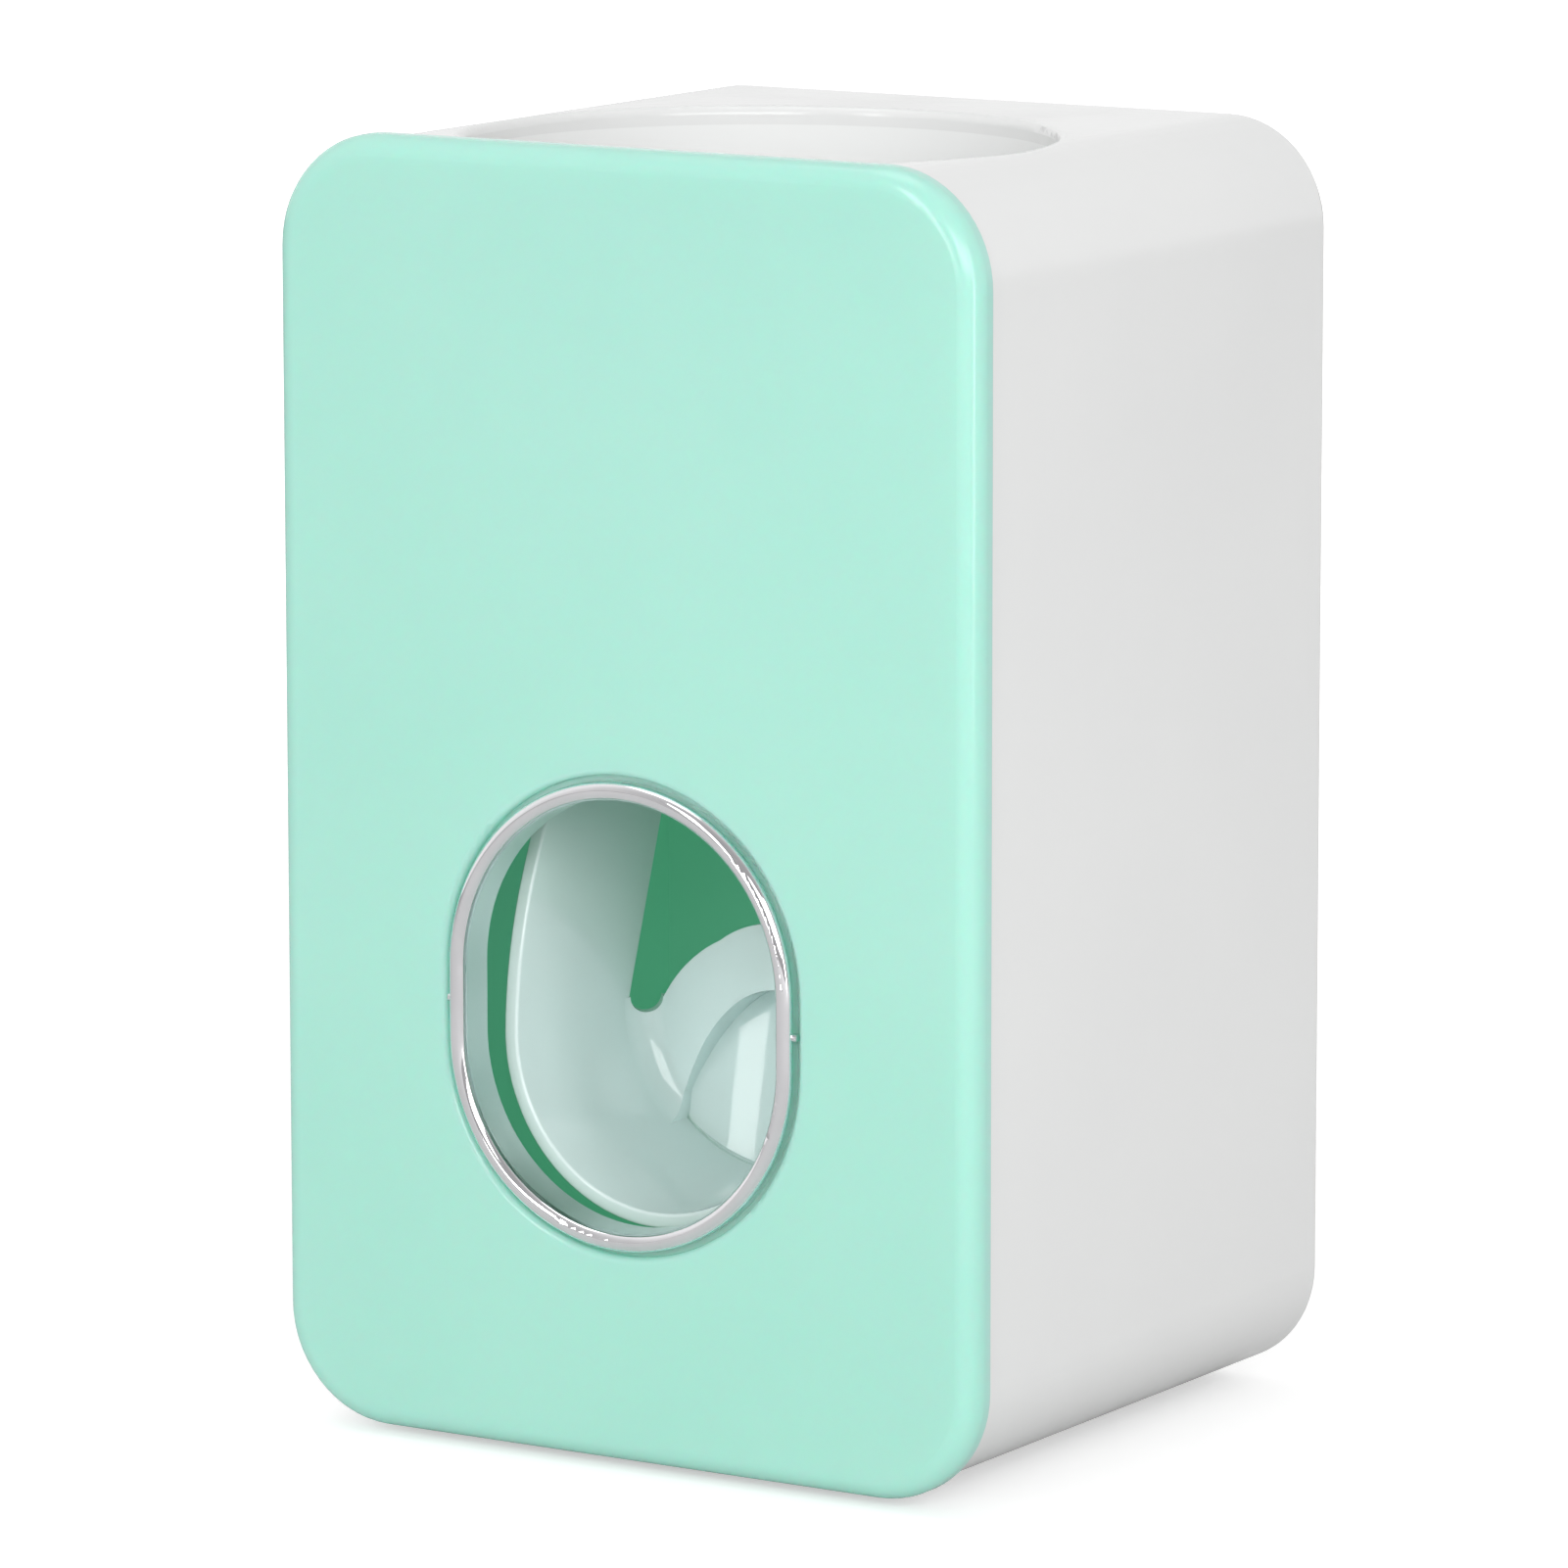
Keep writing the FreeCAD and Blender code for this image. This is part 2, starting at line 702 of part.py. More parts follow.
def spring_path(start, length):
    """Helix about the stem as points and unit tangents, one per quarter turn."""
    quarters = 4 * spring_turns
    climb = length / (2 * math.pi * spring_turns)
    stations = []
    for quarter in range(quarters + 1):
        turn = quarter * math.pi / 2
        across = spring_radius * math.cos(turn)
        up = spring_radius * math.sin(turn)
        point = vec(across, start + climb * turn, bar_z + up)
        tangent = vec(-up, climb, across).normalize()
        stations.append((point, tangent))
    return stations


def biarc(first, second):
    """Two arcs that leave first and reach second along their tangents."""
    a, a_way = first
    b, b_way = second
    chord = b - a
    both = a_way + b_way
    steep = 2 * (1 - a_way.dot(b_way))
    lean = chord.dot(both)
    reach = (math.sqrt(lean ** 2 + steep * chord.dot(chord)) - lean) / steep
    joint = (a + b + (a_way - b_way) * reach) * (1 / 2)
    return [arc_from(a, a_way, joint), arc_from(b, b_way * -1, joint)]


def arc_from(start, way, end):
    """Arc that leaves start along way and ends at end, by its middle point."""
    chord = end - start
    along = way.dot(chord) / chord.Length
    side = (way - chord * (along / chord.Length)).normalize()
    sagitta = chord.Length / 2 * math.tan(math.acos(along) / 2)
    return arc(start, (start + end) * (1 / 2) + side * sagitta, end)


def return_spring():
    """Coil between the washer and the chamber's end, one unbroken wire."""
    start = washer_rear() + spring_wire / 2 + spring_end_gap
    end = seat_y + chamber_depth - spring_wire / 2 - spring_end_gap
    stations = spring_path(start, end - start)
    edges = []
    for first, second in zip(stations, stations[1:]):
        edges += biarc(first, second)
    path = Part.Wire(Part.sortEdges(edges)[0])
    point, tangent = stations[0]
    section = Part.Wire(Part.makeCircle(spring_wire / 2, point, tangent))
    pitch = (end - start) / spring_turns
    steepness = pitch / (2 * math.pi * spring_radius)
    print("return_spring gap between turns", round(pitch * math.cos(math.atan(steepness)) - spring_wire, 3))
    return path.makePipeShell([section], True, False)


def pump_frame():
    plate = block(-frame_half_width, frame_half_width, plate_y, plate_y + frame_plate,
                  frame_low_z, frame_top_z)
    ear = rod_x(pivot_round, ear_inner, ear_inner + ear_thick, pivot_y, pivot_z)
    ear = ear.fuse(block(ear_inner, ear_inner + ear_thick, pivot_y, plate_y + frame_plate / 2,
                         pivot_z - pivot_round, min(pivot_z + pivot_round, frame_top_z)))
    bosses = []
    cuts = []
    boss_end = plate_y + frame_plate + pump_boss_share * frame_standoff
    for x, z in lug_places():
        bosses.append(rod_y(pump_screw_radius + boss_wall, plate_y + frame_plate / 2, boss_end, x, z))
        cuts.append(rod_y(pump_screw_radius + screw_fit, plate_y - overrun, boss_end + overrun, x, z))
    frame = plate.fuse(both_sides(ear) + bosses)
    for x, z in post_places():
        hole = frame_screw_radius + screw_hole_clearance
        cuts.append(rod_y(hole, plate_y - overrun, plate_y + frame_plate + overrun, x, z))
    reach = ear_inner + ear_thick + overrun
    cuts.append(rod_x(pin_radius + pin_fit, -reach, reach, pivot_y, pivot_z))
    return frame.cut(cuts)


def frame_screws():
    return Part.makeCompound([
        screw(frame_screw_radius, frame_screw_length, frame_screw_head, frame_screw_head_thick, plate_y, x, z)
        for x, z in post_places()])


def pump_screws():
    return Part.makeCompound([
        screw(pump_screw_radius, pump_screw_length, pump_screw_head, pump_screw_head_thick,
              plate_y - lug_depth, x, z)
        for x, z in lug_places()])


def trough(radius, y0, y1):
    """Half-round channel with upright sides, up to the lever's crown."""
    top = pivot_z + pivot_round
    edges = [
        arc(vec(-radius, y0, scoop_z), vec(0, y0, scoop_z - radius), vec(radius, y0, scoop_z)),
        line(vec(radius, y0, scoop_z), vec(radius, y0, top)),
        line(vec(radius, y0, top), vec(-radius, y0, top)),
        line(vec(-radius, y0, top), vec(-radius, y0, scoop_z)),
    ]
    return prism(edges, vec(0, y1 - y0, 0))


def rounded_corner(before, corner, after, radius):
    """Start, middle and end of the arc that rounds a corner."""
    one = (before - corner).normalize()
    two = (after - corner).normalize()
    half_angle = math.acos(one.dot(two)) / 2
    run = radius / math.tan(half_angle)
    inward = (one + two).normalize()
    middle = corner + inward * (radius / math.sin(half_angle) - radius)
    return corner + one * run, middle, corner + two * run


def pivot_touch(point, side):
    """Where a line up from point meets the round of the pivot, on its front (1) or its back (-1)."""
    reach = vec(point.x, pivot_y, pivot_z) - point
    slope = math.atan2(reach.z, reach.y) + side * math.asin(pivot_round / reach.Length)
    run = math.sqrt(reach.Length ** 2 - pivot_round ** 2)
    return point + vec(0, math.cos(slope), math.sin(slope)) * run


def arm_side():
    """Side view of scoop and arms: the lip curves back towards the pivot, the back leans with it."""
    half = scoop_radius + 2 * scoop_wall
    low = vec(-half, scoop_y, base_z)
    lip = vec(-half, scoop_y, scoop_z + arm_lean_rise)
    bend_z = pivot_z - arm_bend_drop
    bend = vec(-half, scoop_y + (bend_z - lip.z) * math.tan(math.radians(arm_lean_angle)), bend_z)
    start, middle, end = rounded_corner(low, lip, bend, arm_lean_round)
    neck = vec(-half, arm_back_y, pivot_z - arm_neck_drop)
    back = [
        neck,
        vec(-half, arm_back_y, pivot_z - arm_shoulder_drop),
        vec(-half, paddle_y - arm_waist_lead, notch_z),
        vec(-half, paddle_y - scoop_blend, notch_z - notch_radius),
        vec(-half, paddle_y - scoop_blend, base_z),
        low,
    ]
    front_touch = pivot_touch(bend, 1)
    back_touch = pivot_touch(neck, -1)
    crown = vec(-half, pivot_y, pivot_z + pivot_round)
    edges = [line(low, start), arc(start, middle, end), line(end, bend), line(bend, front_touch),
             arc(front_touch, crown, back_touch), line(back_touch, neck)]
    edges += [line(a, b) for a, b in zip(back, back[1:])]
    return prism(edges, vec(2 * half, 0, 0))


def paddle_opening():
    """What is cut from the scoop's end wall: all above the dome and above the floors of the notches beside it."""
    y = paddle_y - scoop_blend - overrun
    foot = scoop_radius - dome_margin
    side = scoop_radius + 2 * scoop_wall
    crown = pivot_z + pivot_round + overrun

    def at(x, z):
        return vec(x, y, z)

    flank = at(dome_flank_share * foot, scoop_z + dome_flank_rise)
    shoulder = at(dome_shoulder_share * foot, scoop_z + dome_shoulder_rise)
    half = [line(at(side, crown), at(side, notch_z)), line(at(side, notch_z), at(foot, notch_z)),
            arc(at(foot, notch_z), flank, shoulder)]
    edges = half + [mirrored(edge) for edge in half]
    edges += [
        arc(shoulder, at(0, scoop_z + paddle_dome_rise), at(-shoulder.x, shoulder.z)),
        line(at(-side, crown), at(side, crown)),
    ]
    return prism(Part.sortEdges(edges)[0], vec(0, paddle_back_y + overrun - y, 0))


def notch():
    """Round floor of the notch between the dome and an arm, square to the corner that it is cut in."""
    turn = math.radians(notch_turn)
    outwards = vec(math.cos(turn), math.sin(turn), 0)
    corner = vec(scoop_radius - scoop_blend, paddle_y - scoop_blend, notch_z)
    return Part.makeCylinder(notch_radius, scoop_wall + scoop_blend + overrun, corner + outwards * overrun, outwards)


def pocket(grow, y0):
    """What the brush's head leans in: an arched, hollowed ramp in the paddle, level with the scoop's floor."""
    floor = scoop_z - scoop_radius
    centre = vec(0, y0, floor - pocket_centre_drop)
    half = scoop_radius - pocket_margin + grow
    side = scoop_radius - pocket_side_margin + grow
    height = pocket_arch + grow
    tilt = math.radians(pocket_tilt)
    upwards = vec(0, math.sin(tilt), math.cos(tilt))
    deepest = vec(0, paddle_y + pocket_depth, floor)
    axis = deepest - vec(0, math.cos(tilt), -math.sin(tilt)) * pocket_round
    hollow = Part.makeCylinder(pocket_round + grow, 4 * height, axis - upwards * 2 * height, upwards)
    curve = Part.Ellipse(centre + vec(0, 0, height), centre + vec(half, 0, 0), centre)
    arched = Part.Face(Part.Wire(curve.toShape())).extrude(vec(0, pocket_round, 0))
    arched = arched.common(block(-side, side, y0, y0 + pocket_round, base_z, centre.z + height))
    return arched.common(trough(scoop_radius + grow, y0, y0 + pocket_round)).common(hollow)


def scoop_end():
    """End wall of the scoop, the domed paddle, rounded into the channel inside and outside."""
    y0 = paddle_y - scoop_blend - overrun
    inside = trough(scoop_radius, y0 - overrun, paddle_y)
    outside = trough(scoop_radius + scoop_wall, y0, paddle_back_y)
    inside = inside.makeFillet(scoop_blend, end_edges(inside, paddle_y))
    outside = outside.makeFillet(scoop_blend + scoop_wall, end_edges(outside, paddle_back_y))
    return outside.cut(inside).cut([paddle_opening()] + both_sides(notch()))


def end_edges(shape, y):
    """The edges of a trough's end at y, but for the one along its top."""
    return [edge for edge in flat_edges(shape, "Y", y, scoop_radius + 2 * scoop_wall) if edge.BoundBox.ZMin < pivot_z]


def push_lever():
    channel_end = max(arm_back_y, paddle_back_y)
    channel = trough(scoop_radius + scoop_wall, scoop_y, channel_end)
    channel = channel.cut(trough(scoop_radius, scoop_y - overrun, channel_end + overrun)).common(arm_side())
    lip = [edge for edge in channel.Edges if edge.BoundBox.YMax - scoop_y < seam_gap]
    channel = channel.makeFillet(lip_round, lip)
    backing = pocket(scoop_wall, paddle_y + scoop_wall / 2)
    bar = block(-scoop_radius - scoop_wall / 2, scoop_radius + scoop_wall / 2,
                nub_y - bar_thick / 2, nub_y + bar_thick / 2, bar_z - bar_height / 2, bar_z + bar_height / 2)
    nub = rod_x(nub_radius, -nub_half_length, nub_half_length, nub_y, bar_z)
    hub_outer = scoop_radius + scoop_wall
    hub = rod_x(pivot_round, hub_outer - hub_length, hub_outer, pivot_y, pivot_z)
    lever = channel.fuse([scoop_end(), backing, bar, nub] + both_sides(hub))
    reach = hub_outer + overrun
    lever = lever.cut([pocket(0, paddle_y - scoop_blend),
                       rod_x(pin_radius + pin_fit, -reach, reach, pivot_y, pivot_z)])
    return lever.removeSplitter()


def pivot_pins():
    inner = scoop_radius + scoop_wall - hub_length - clip_gap - clip_thick - pin_tail
    outer = ear_inner + ear_thick
    shank = rod_x(pin_radius, inner, outer, pivot_y, pivot_z)
    pin = shank.fuse(rod_x(pin_head_radius, outer, outer + pin_head, pivot_y, pivot_z))
    return Part.makeCompound(both_sides(pin))


def pin_clips():
    outer = scoop_radius + scoop_wall - hub_length - clip_gap
    ring = rod_x(clip_radius, outer - clip_thick, outer, pivot_y, pivot_z)
    half = clip_mouth / 2
    mouth = block(outer - clip_thick - overrun, outer + overrun, pivot_y - half, pivot_y + half,
                  pivot_z - clip_radius - overrun, pivot_z)
    bore = rod_x(pin_radius, outer - clip_thick - overrun, outer + overrun, pivot_y, pivot_z)
    return Part.makeCompound(both_sides(ring.cut([bore, mouth])))


def rubber_feet():
    x = half_width - foot_inset_x
    places = [(side * x, y) for side in (-1, 1) for y in (seam_y + foot_inset_y, rear_y - foot_inset_y)]
    return Part.makeCompound([rod_z(foot_radius, 0, foot_height, px, py) for px, py in places])


pieces = [
    housing, front_cover, window_ring, tube_well, well_gasket, seal_collar, tube_seal, inlet_valve,
    pump_body, duct_plugs, nozzle, nozzle_o_ring, outlet_valve, bellows, bellows_clamp, press_cap,
    stem_washer, return_spring, pump_frame, frame_screws, pump_screws, push_lever, pivot_pins,
    pin_clips, rubber_feet,
]

os.makedirs("parts", exist_ok=True)
for piece in pieces:
    shape = piece()
    shape.exportStep("parts/" + piece.__name__ + ".step")
    print(piece.__name__, len(shape.Solids), round(shape.Volume, 1), shape.isValid())
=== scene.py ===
import math

import bmesh
import bpy
from mathutils import Matrix, Vector


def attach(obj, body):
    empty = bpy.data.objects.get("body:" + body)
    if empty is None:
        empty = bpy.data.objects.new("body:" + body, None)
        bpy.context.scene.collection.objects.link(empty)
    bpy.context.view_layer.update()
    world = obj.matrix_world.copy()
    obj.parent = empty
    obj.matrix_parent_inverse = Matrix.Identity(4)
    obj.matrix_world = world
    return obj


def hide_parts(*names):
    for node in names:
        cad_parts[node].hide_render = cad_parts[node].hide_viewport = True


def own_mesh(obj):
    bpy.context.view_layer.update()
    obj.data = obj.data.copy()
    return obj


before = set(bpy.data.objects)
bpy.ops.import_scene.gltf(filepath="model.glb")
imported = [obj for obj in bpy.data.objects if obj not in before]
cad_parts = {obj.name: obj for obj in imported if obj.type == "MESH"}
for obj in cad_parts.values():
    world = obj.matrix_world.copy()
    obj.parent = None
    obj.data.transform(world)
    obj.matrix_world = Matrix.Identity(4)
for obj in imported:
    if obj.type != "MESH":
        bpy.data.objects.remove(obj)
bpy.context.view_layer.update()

# The table-top studio: a white paper floor that runs out of sight, pale walls, soft boxes in front, on the
# right and overhead, and the photograph's view through a long lens a little above the dispenser.
scene = bpy.context.scene
scene.view_settings.view_transform = "Standard"

yaw, pitch, roll = 0.561749, 0.168400, -0.0010139
camera_place = (0.579344, -0.925248, 0.259994)
level = Vector((math.cos(yaw), math.sin(yaw), 0))
ahead = Vector((-math.sin(yaw) * math.cos(pitch), math.cos(yaw) * math.cos(pitch), -math.sin(pitch)))
upright = level.cross(ahead)
across = math.cos(roll) * level + math.sin(roll) * upright
upright = math.cos(roll) * upright - math.sin(roll) * level
lens = bpy.data.cameras.new("photo_view")
lens.lens, lens.sensor_width = 216.74, 36
lens.clip_start, lens.clip_end = 0.05, 50
camera = bpy.data.objects.new("photo_view", lens)
camera_turn = Matrix((across, upright, -ahead)).transposed().to_4x4()
camera.matrix_world = Matrix.Translation(camera_place) @ camera_turn
scene.collection.objects.link(camera)
scene.camera = camera


def soft_box(name, place, target, width, height, watts):
    """A flat lamp at a place, turned to a target, in metres."""
    lamp = bpy.data.lights.new(name, "AREA")
    lamp.shape, lamp.size, lamp.size_y, lamp.energy = "RECTANGLE", width, height, watts
    holder = bpy.data.objects.new(name, lamp)
    holder.location = place
    holder.rotation_euler = (Vector(target) - Vector(place)).to_track_quat("-Z", "Y").to_euler()
    scene.collection.objects.link(holder)


soft_box("left_box", place=(-0.27, -1.07, 0.42), target=(0, 0, 0.06), width=0.2, height=0.7, watts=2.1)
soft_box("front_box", place=(0.70, -1.0, 0.48), target=(0, 0, 0.06), width=0.9, height=0.5, watts=6.25)
soft_box("low_box", place=(0.62, -0.32, 0.24), target=(0, 0, 0.08), width=0.12, height=0.5, watts=0.85)
soft_box("top_box", place=(-0.25, -0.1, 1.3), target=(0, 0, 0.1), width=0.7, height=0.7, watts=2.3)


def vector_step(made, wired, operation, first, second=None):
    """One step of reckoning on a place or a direction."""
    step = made.new("ShaderNodeVectorMath")
    step.operation = operation
    wired.new(first, step.inputs[0])
    if second is not None:
        step.inputs[1].default_value = second
    return step.outputs


def soft_ramp(made, wired, value, start, first, end, last):
    """A soft change from the first to the last level while a value runs from start to end."""
    ramp = made.new("ShaderNodeMapRange")
    ramp.interpolation_type = "SMOOTHSTEP"
    wired.new(value, ramp.inputs["Value"])
    ramp.inputs["From Min"].default_value, ramp.inputs["From Max"].default_value = start, end
    ramp.inputs["To Min"].default_value, ramp.inputs["To Max"].default_value = first, last
    return ramp.outputs["Result"]


def seen_plainly(made, wired):
    """A mask of what the lens sees directly or through something clear."""
    path = made.new("ShaderNodeLightPath").outputs
    either = made.new("ShaderNodeMath")
    either.operation = "MAXIMUM"
    wired.new(path["Is Camera Ray"], either.inputs[0])
    wired.new(path["Is Transmission Ray"], either.inputs[1])
    return either.outputs[0]


# The walls are white to the lens. The one behind the dispenser lights it, and shows in its gloss, more than
# the one behind the camera does.
near_wall, far_wall, mirrored_far_wall = 0.42, 0.85, 1.0
room = bpy.data.worlds.new("white_room")
scene.world = room
room.use_nodes = True
made, wired = room.node_tree.nodes, room.node_tree.links
direction = made.new("ShaderNodeTexCoord").outputs["Generated"]
nearness = vector_step(made, wired, "DOT_PRODUCT", direction, -ahead)["Value"]
wall_light = made.new("ShaderNodeMix")
wired.new(made.new("ShaderNodeLightPath").outputs["Is Glossy Ray"], wall_light.inputs["Factor"])
wired.new(soft_ramp(made, wired, nearness, -0.8, far_wall, 0.2, near_wall), wall_light.inputs["A"])
wired.new(soft_ramp(made, wired, nearness, -0.1, mirrored_far_wall, 0.85, near_wall), wall_light.inputs["B"])
strength = made.new("ShaderNodeMix")
strength.inputs["B"].default_value = 1.0
wired.new(seen_plainly(made, wired), strength.inputs["Factor"])
wired.new(wall_light.outputs["Result"], strength.inputs["A"])
made["Background"].inputs["Color"].default_value = (1, 1, 1, 1)
wired.new(strength.outputs["Result"], made["Background"].inputs["Strength"])

# The floor turns white away from the dispenser, and keeps its shadow.
floor_reach, floor_drop, shadow_lift, far_lift = 20, 0.0002, 0.48, 0.82
bm = bmesh.new()
bmesh.ops.create_grid(bm, x_segments=1, y_segments=1, size=floor_reach)
bmesh.ops.translate(bm, verts=bm.verts, vec=(0, 0, -floor_drop))
floor_mesh = bpy.data.meshes.new("paper_floor")
bm.to_mesh(floor_mesh)
bm.free()
floor = bpy.data.objects.new("paper_floor", floor_mesh)
scene.collection.objects.link(floor)
paper = bpy.data.materials.new("white_paper")
paper.use_nodes = True
made, wired = paper.node_tree.nodes, paper.node_tree.links
sheet = made["Principled BSDF"]
sheet.inputs["Base Color"].default_value = (0.75, 0.75, 0.75, 1)
sheet.inputs["Roughness"].default_value = 0.9
sheet.inputs["Specular IOR Level"].default_value = 0.0
sheet.inputs["Emission Color"].default_value = (1, 1, 1, 1)
distance = vector_step(made, wired, "LENGTH", made.new("ShaderNodeTexCoord").outputs["Object"])["Value"]
lift = made.new("ShaderNodeMath")
lift.operation = "MULTIPLY"
wired.new(seen_plainly(made, wired), lift.inputs[0])
wired.new(soft_ramp(made, wired, distance, 0.1, shadow_lift, 0.7, far_lift), lift.inputs[1])
wired.new(lift.outputs[0], sheet.inputs["Emission Strength"])
floor_mesh.materials.append(paper)

# Housing: the white body of the dispenser, one open-fronted ABS moulding with a gloss skin, 2.2 mm thick.
# It stands on four feet or hangs from two keyholes in its back, and everything else is fixed in it.


def node_group(name, inputs, outputs):
    """An empty group of shader nodes with its sockets and its input and output nodes."""
    group = bpy.data.node_groups.new(name, "ShaderNodeTree")
    for socket, kind, value in inputs:
        made_socket = group.interface.new_socket(socket, in_out="INPUT", socket_type="NodeSocket" + kind)
        made_socket.default_value = value
    for socket, kind in outputs:
        group.interface.new_socket(socket, in_out="OUTPUT", socket_type="NodeSocket" + kind)
    return group, group.nodes.new("NodeGroupInput").outputs, group.nodes.new("NodeGroupOutput").inputs


def fill(wired, socket, value):
    """Wires a socket to another one, or sets it to a number or a colour."""
    if isinstance(value, bpy.types.NodeSocket):
        wired.new(value, socket)
    else:
        socket.default_value = value


def noise(made, wired, scale, detail, place=None):
    """A cloud pattern on the piece's own coordinates, with a scale per metre or from a socket."""
    cloud = made.new("ShaderNodeTexNoise")
    cloud.inputs["Detail"].default_value = detail
    fill(wired, cloud.inputs["Scale"], scale)
    if place is None:
        place = made.new("ShaderNodeTexCoord").outputs["Object"]
    wired.new(place, cloud.inputs["Vector"])
    return cloud.outputs["Fac"]


def spread(made, wired, value, low, high, cut=(0.3, 0.7)):
    """Maps a pattern's middle range to two values, each a number or a socket."""
    ramp = made.new("ShaderNodeMapRange")
    wired.new(value, ramp.inputs["Value"])
    ramp.inputs["From Min"].default_value, ramp.inputs["From Max"].default_value = cut
    fill(wired, ramp.inputs["To Min"], low)
    fill(wired, ramp.inputs["To Max"], high)
    return ramp.outputs["Result"]


def blend(made, wired, share, first, second, kind="RGBA"):
    """Mixes two colours or values, each given or from a socket, by a share."""
    mix = made.new("ShaderNodeMix")
    mix.data_type = kind
    wired.new(share, mix.inputs["Factor"])
    fill(wired, mix.inputs["A"], first)
    fill(wired, mix.inputs["B"], second)
    return mix.outputs["Result"]


def relief(made, wired, height, depth, strength):
    """The normal of a pattern of a given depth, with a strength given or from a socket."""
    bump = made.new("ShaderNodeBump")
    bump.inputs["Distance"].default_value = depth
    fill(wired, bump.inputs["Strength"], strength)
    wired.new(height, bump.inputs["Height"])
    return bump.outputs["Normal"]


# Skin of a moulded plastic: slow drifts of colour from the flow of the melt, orange peel, and faint handling
# marks that show only in the gloss.
moulded_skin, given, put = node_group(
    "moulded_skin",
    (("Colour", "Color", (0.8, 0.8, 0.8, 1)), ("Flow Colour", "Color", (0.78, 0.78, 0.78, 1)),
     ("Smooth", "Float", 0.12), ("Handled", "Float", 0.2),
     ("Peel Scale", "Float", 500.0), ("Peel", "Float", 0.1)),
    (("Colour", "Color"), ("Roughness", "Float"), ("Normal", "Vector")))
made, wired = moulded_skin.nodes, moulded_skin.links
flow = spread(made, wired, noise(made, wired, scale=22.0, detail=3.0), 0.0, 1.0)
wired.new(blend(made, wired, flow, given["Colour"], given["Flow Colour"]), put["Colour"])
marks = noise(made, wired, scale=75.0, detail=6.0)
wired.new(spread(made, wired, marks, given["Smooth"], given["Handled"], (0.42, 0.75)), put["Roughness"])
peel = noise(made, wired, scale=given["Peel Scale"], detail=1.5)
wired.new(relief(made, wired, peel, depth=0.0002, strength=given["Peel"]), put["Normal"])


def finish_with(name, group, values, fixed):
    """A material whose colour, gloss and grain come from a group. The shader's fixed values are set on it."""
    finish = bpy.data.materials.new(name)
    finish.use_nodes = True
    made, wired = finish.node_tree.nodes, finish.node_tree.links
    skin = made.new("ShaderNodeGroup")
    skin.node_tree = group
    for socket, value in values.items():
        skin.inputs[socket].default_value = value
    shader = made["Principled BSDF"]
    for source, target in (("Colour", "Base Color"), ("Roughness", "Roughness"), ("Normal", "Normal")):
        wired.new(skin.outputs[source], shader.inputs[target])
    for socket, value in fixed.items():
        shader.inputs[socket].default_value = value
    return finish


def dress(node, finish):
    """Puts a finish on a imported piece."""
    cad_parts[node].material_slots[0].material = finish


body_abs = finish_with(
    "white_abs_mint_lined", moulded_skin,
    {"Colour": (0.86, 0.865, 0.86, 1), "Flow Colour": (0.84, 0.845, 0.842, 1),
     "Smooth": 0.16, "Handled": 0.26, "Peel Scale": 420.0, "Peel": 0.04}, {"IOR": 1.5})

# The body's inside is painted mint: painted green light, standing in for the daylight that the translucent
# cover lets in, as the photograph shows behind the lever. It covers all that lies within the middle of the
# wall, which follows the rounded box of the cavity.
cavity_middle, cavity_half = (0, 0, 0.0746), (0.0336, 0.0386, 0.0602)
painted_light_reach, depth_weight = (0.0115, 0.0118), (1, 6, 1)
painted_light_mint, painted_glow_mint, unlit = (0.31, 0.76, 0.55, 1), (0.32, 1.0, 0.68, 1), (0, 0, 0, 1)
made, wired = body_abs.node_tree.nodes, body_abs.node_tree.links
shader = made["Principled BSDF"]
place = made.new("ShaderNodeTexCoord").outputs["Object"]
for operation, amount in (("SUBTRACT", cavity_middle), ("ABSOLUTE", None), ("SUBTRACT", cavity_half),
                          ("MULTIPLY", depth_weight), ("MAXIMUM", (0, 0, 0))):
    place = vector_step(made, wired, operation, place, amount)["Vector"]
outside = spread(made, wired, vector_step(made, wired, "LENGTH", place)["Value"], 0.0, 1.0, painted_light_reach)
skin_colour = shader.inputs["Base Color"].links[0].from_socket
wired.new(blend(made, wired, outside, painted_light_mint, skin_colour), shader.inputs["Base Color"])

# A faint green glow on the painted inside is painted light too: it stands in for the daylight that the
# translucent cover lets through.
wired.new(blend(made, wired, outside, painted_glow_mint, unlit), shader.inputs["Emission Color"])
shader.inputs["Emission Strength"].default_value = 0.09
dress("housing", body_abs)

# Feet: four matt grey rubber pads stuck under the flat of the base, with a fine grain and a little dust.
# They keep the dispenser from sliding when the brush pushes the lever.
rubber_grain, given, put = node_group(
    "rubber_grain",
    (("Colour", "Color", (0.3, 0.3, 0.3, 1)), ("Dust Colour", "Color", (0.4, 0.4, 0.4, 1)),
     ("Grain", "Float", 0.3)),
    (("Colour", "Color"), ("Roughness", "Float"), ("Normal", "Vector")))
made, wired = rubber_grain.nodes, rubber_grain.links
dust = spread(made, wired, noise(made, wired, scale=350.0, detail=5.0), 0.0, 1.0, (0.45, 0.75))
wired.new(blend(made, wired, dust, given["Colour"], given["Dust Colour"]), put["Colour"])
wired.new(spread(made, wired, noise(made, wired, scale=500.0, detail=4.0), 0.62, 0.82), put["Roughness"])
grain = noise(made, wired, scale=4000.0, detail=2.0)
wired.new(relief(made, wired, grain, depth=0.0001, strength=given["Grain"]), put["Normal"])
foot_rubber = finish_with(
    "matt_grey_rubber", rubber_grain,
    {"Colour": (0.28, 0.285, 0.29, 1), "Dust Colour": (0.36, 0.36, 0.36, 1), "Grain": 0.35}, {"IOR": 1.52})


